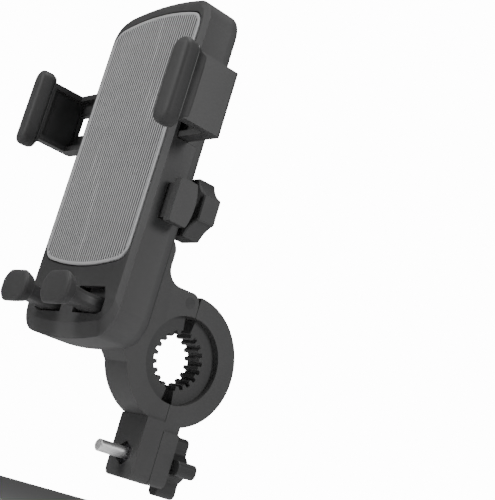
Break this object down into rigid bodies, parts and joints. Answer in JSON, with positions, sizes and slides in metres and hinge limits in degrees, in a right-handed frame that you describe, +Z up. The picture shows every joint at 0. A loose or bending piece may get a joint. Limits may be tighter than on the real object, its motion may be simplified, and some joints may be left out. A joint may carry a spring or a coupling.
{
  "type": "phone mount",
  "caption": "Handlebar phone mount: flat cradle with sliding clamping arms and feet, a lock knob, and a hinged ring clamp with toothed rubber inserts.",
  "frame": {"origin": "centre of the handlebar bore, midway along its length", "axes": "+X along the handlebar bore, -Y towards the side the phone rests on, +Z up the long way of the cradle"},
  "size_m": [0.1054, 0.0963, 0.1817],
  "materials": {
    "casing": "fine satin",
    "arm_plastic": "fine satin",
    "clamp_plastic": "fine satin",
    "knob_plastic": "fine satin",
    "inner_plastic": "natural",
    "silicone_pad": "fine ribs",
    "rubber": "matt",
    "steel": "bright plated",
    "dark_steel": "black oxide",
    "brass": "knurled"
  },
  "bodies": {
    "cradle": {"front_shell": "casing", "rear_shell": "casing", "grip_pad": "silicone_pad", "casing_screws": "steel", "return_spring": "steel", "lock_insert": "brass", "clamp_body": "clamp_plastic", "neck_screws": "steel", "hinge_pin": "clamp_plastic", "front_insert": "rubber", "clamp_nut": "dark_steel"},
    "right_arm_body": {"right_arm": "arm_plastic", "right_arm_cap": "rubber"},
    "left_arm_body": {"left_arm": "arm_plastic", "left_arm_cap": "rubber"},
    "pinion_body": {"sync_pinion": "inner_plastic"},
    "right_foot_body": {"right_foot": "arm_plastic", "right_foot_cap": "rubber"},
    "left_foot_body": {"left_foot": "arm_plastic", "left_foot_cap": "rubber"},
    "lock_knob_body": {"lock_knob": "knob_plastic", "lock_screw": "steel"},
    "jaw_body": {"clamp_jaw": "clamp_plastic", "rear_insert": "rubber"},
    "washer_body": {"clamp_washer": "steel"},
    "clamp_knob_body": {"clamp_knob": "knob_plastic", "clamp_bolt": "steel"}
  },
  "joints": [
    {"name": "right_arm_slide", "type": "slide", "parent": "cradle", "child": "right_arm_body", "axis": [1, 0, 0], "range_m": [-0.012, 0.0015]},
    {"name": "left_arm_slide", "type": "slide", "parent": "cradle", "child": "left_arm_body", "axis": [-1, 0, 0], "range_m": [-0.012, 0.0015]},
    {"name": "pinion_turn", "type": "hinge", "parent": "cradle", "child": "pinion_body", "pos_m": [0, -0.0464, 0.0477], "axis": [0, 1, 0], "range_deg": [-115, 15]},
    {"name": "right_foot_slide", "type": "slide", "parent": "cradle", "child": "right_foot_body", "axis": [1, 0, 0], "range_m": [-0.0035, 0.0014]},
    {"name": "left_foot_slide", "type": "slide", "parent": "cradle", "child": "left_foot_body", "axis": [-1, 0, 0], "range_m": [-0.0035, 0.0014]},
    {"name": "lock_knob_turn", "type": "hinge", "parent": "cradle", "child": "lock_knob_body", "pos_m": [0.0286, -0.032, 0.0495], "axis": [0, 1, 0], "continuous": true},
    {"name": "jaw_swing", "type": "hinge", "parent": "cradle", "child": "jaw_body", "pos_m": [0, -0.0045, 0.0222], "axis": [1, 0, 0], "range_deg": [0, 45]},
    {"name": "bolt_withdraw", "type": "slide", "parent": "cradle", "child": "washer_body", "axis": [0, 1, 0], "range_m": [0, 0.0712]},
    {"name": "clamp_knob_turn", "type": "hinge", "parent": "washer_body", "child": "clamp_knob_body", "pos_m": [0, 0, -0.0398], "axis": [0, 1, 0], "continuous": true}
  ],
  "couplings": [
    {"joint": "left_arm_slide", "follows": "right_arm_slide", "ratio": 1},
    {"joint": "pinion_turn", "follows": "right_arm_slide", "rad_per_m": 166.67},
    {"joint": "bolt_withdraw", "follows": "jaw_swing", "m_per_rad": 0.09}
  ]
}
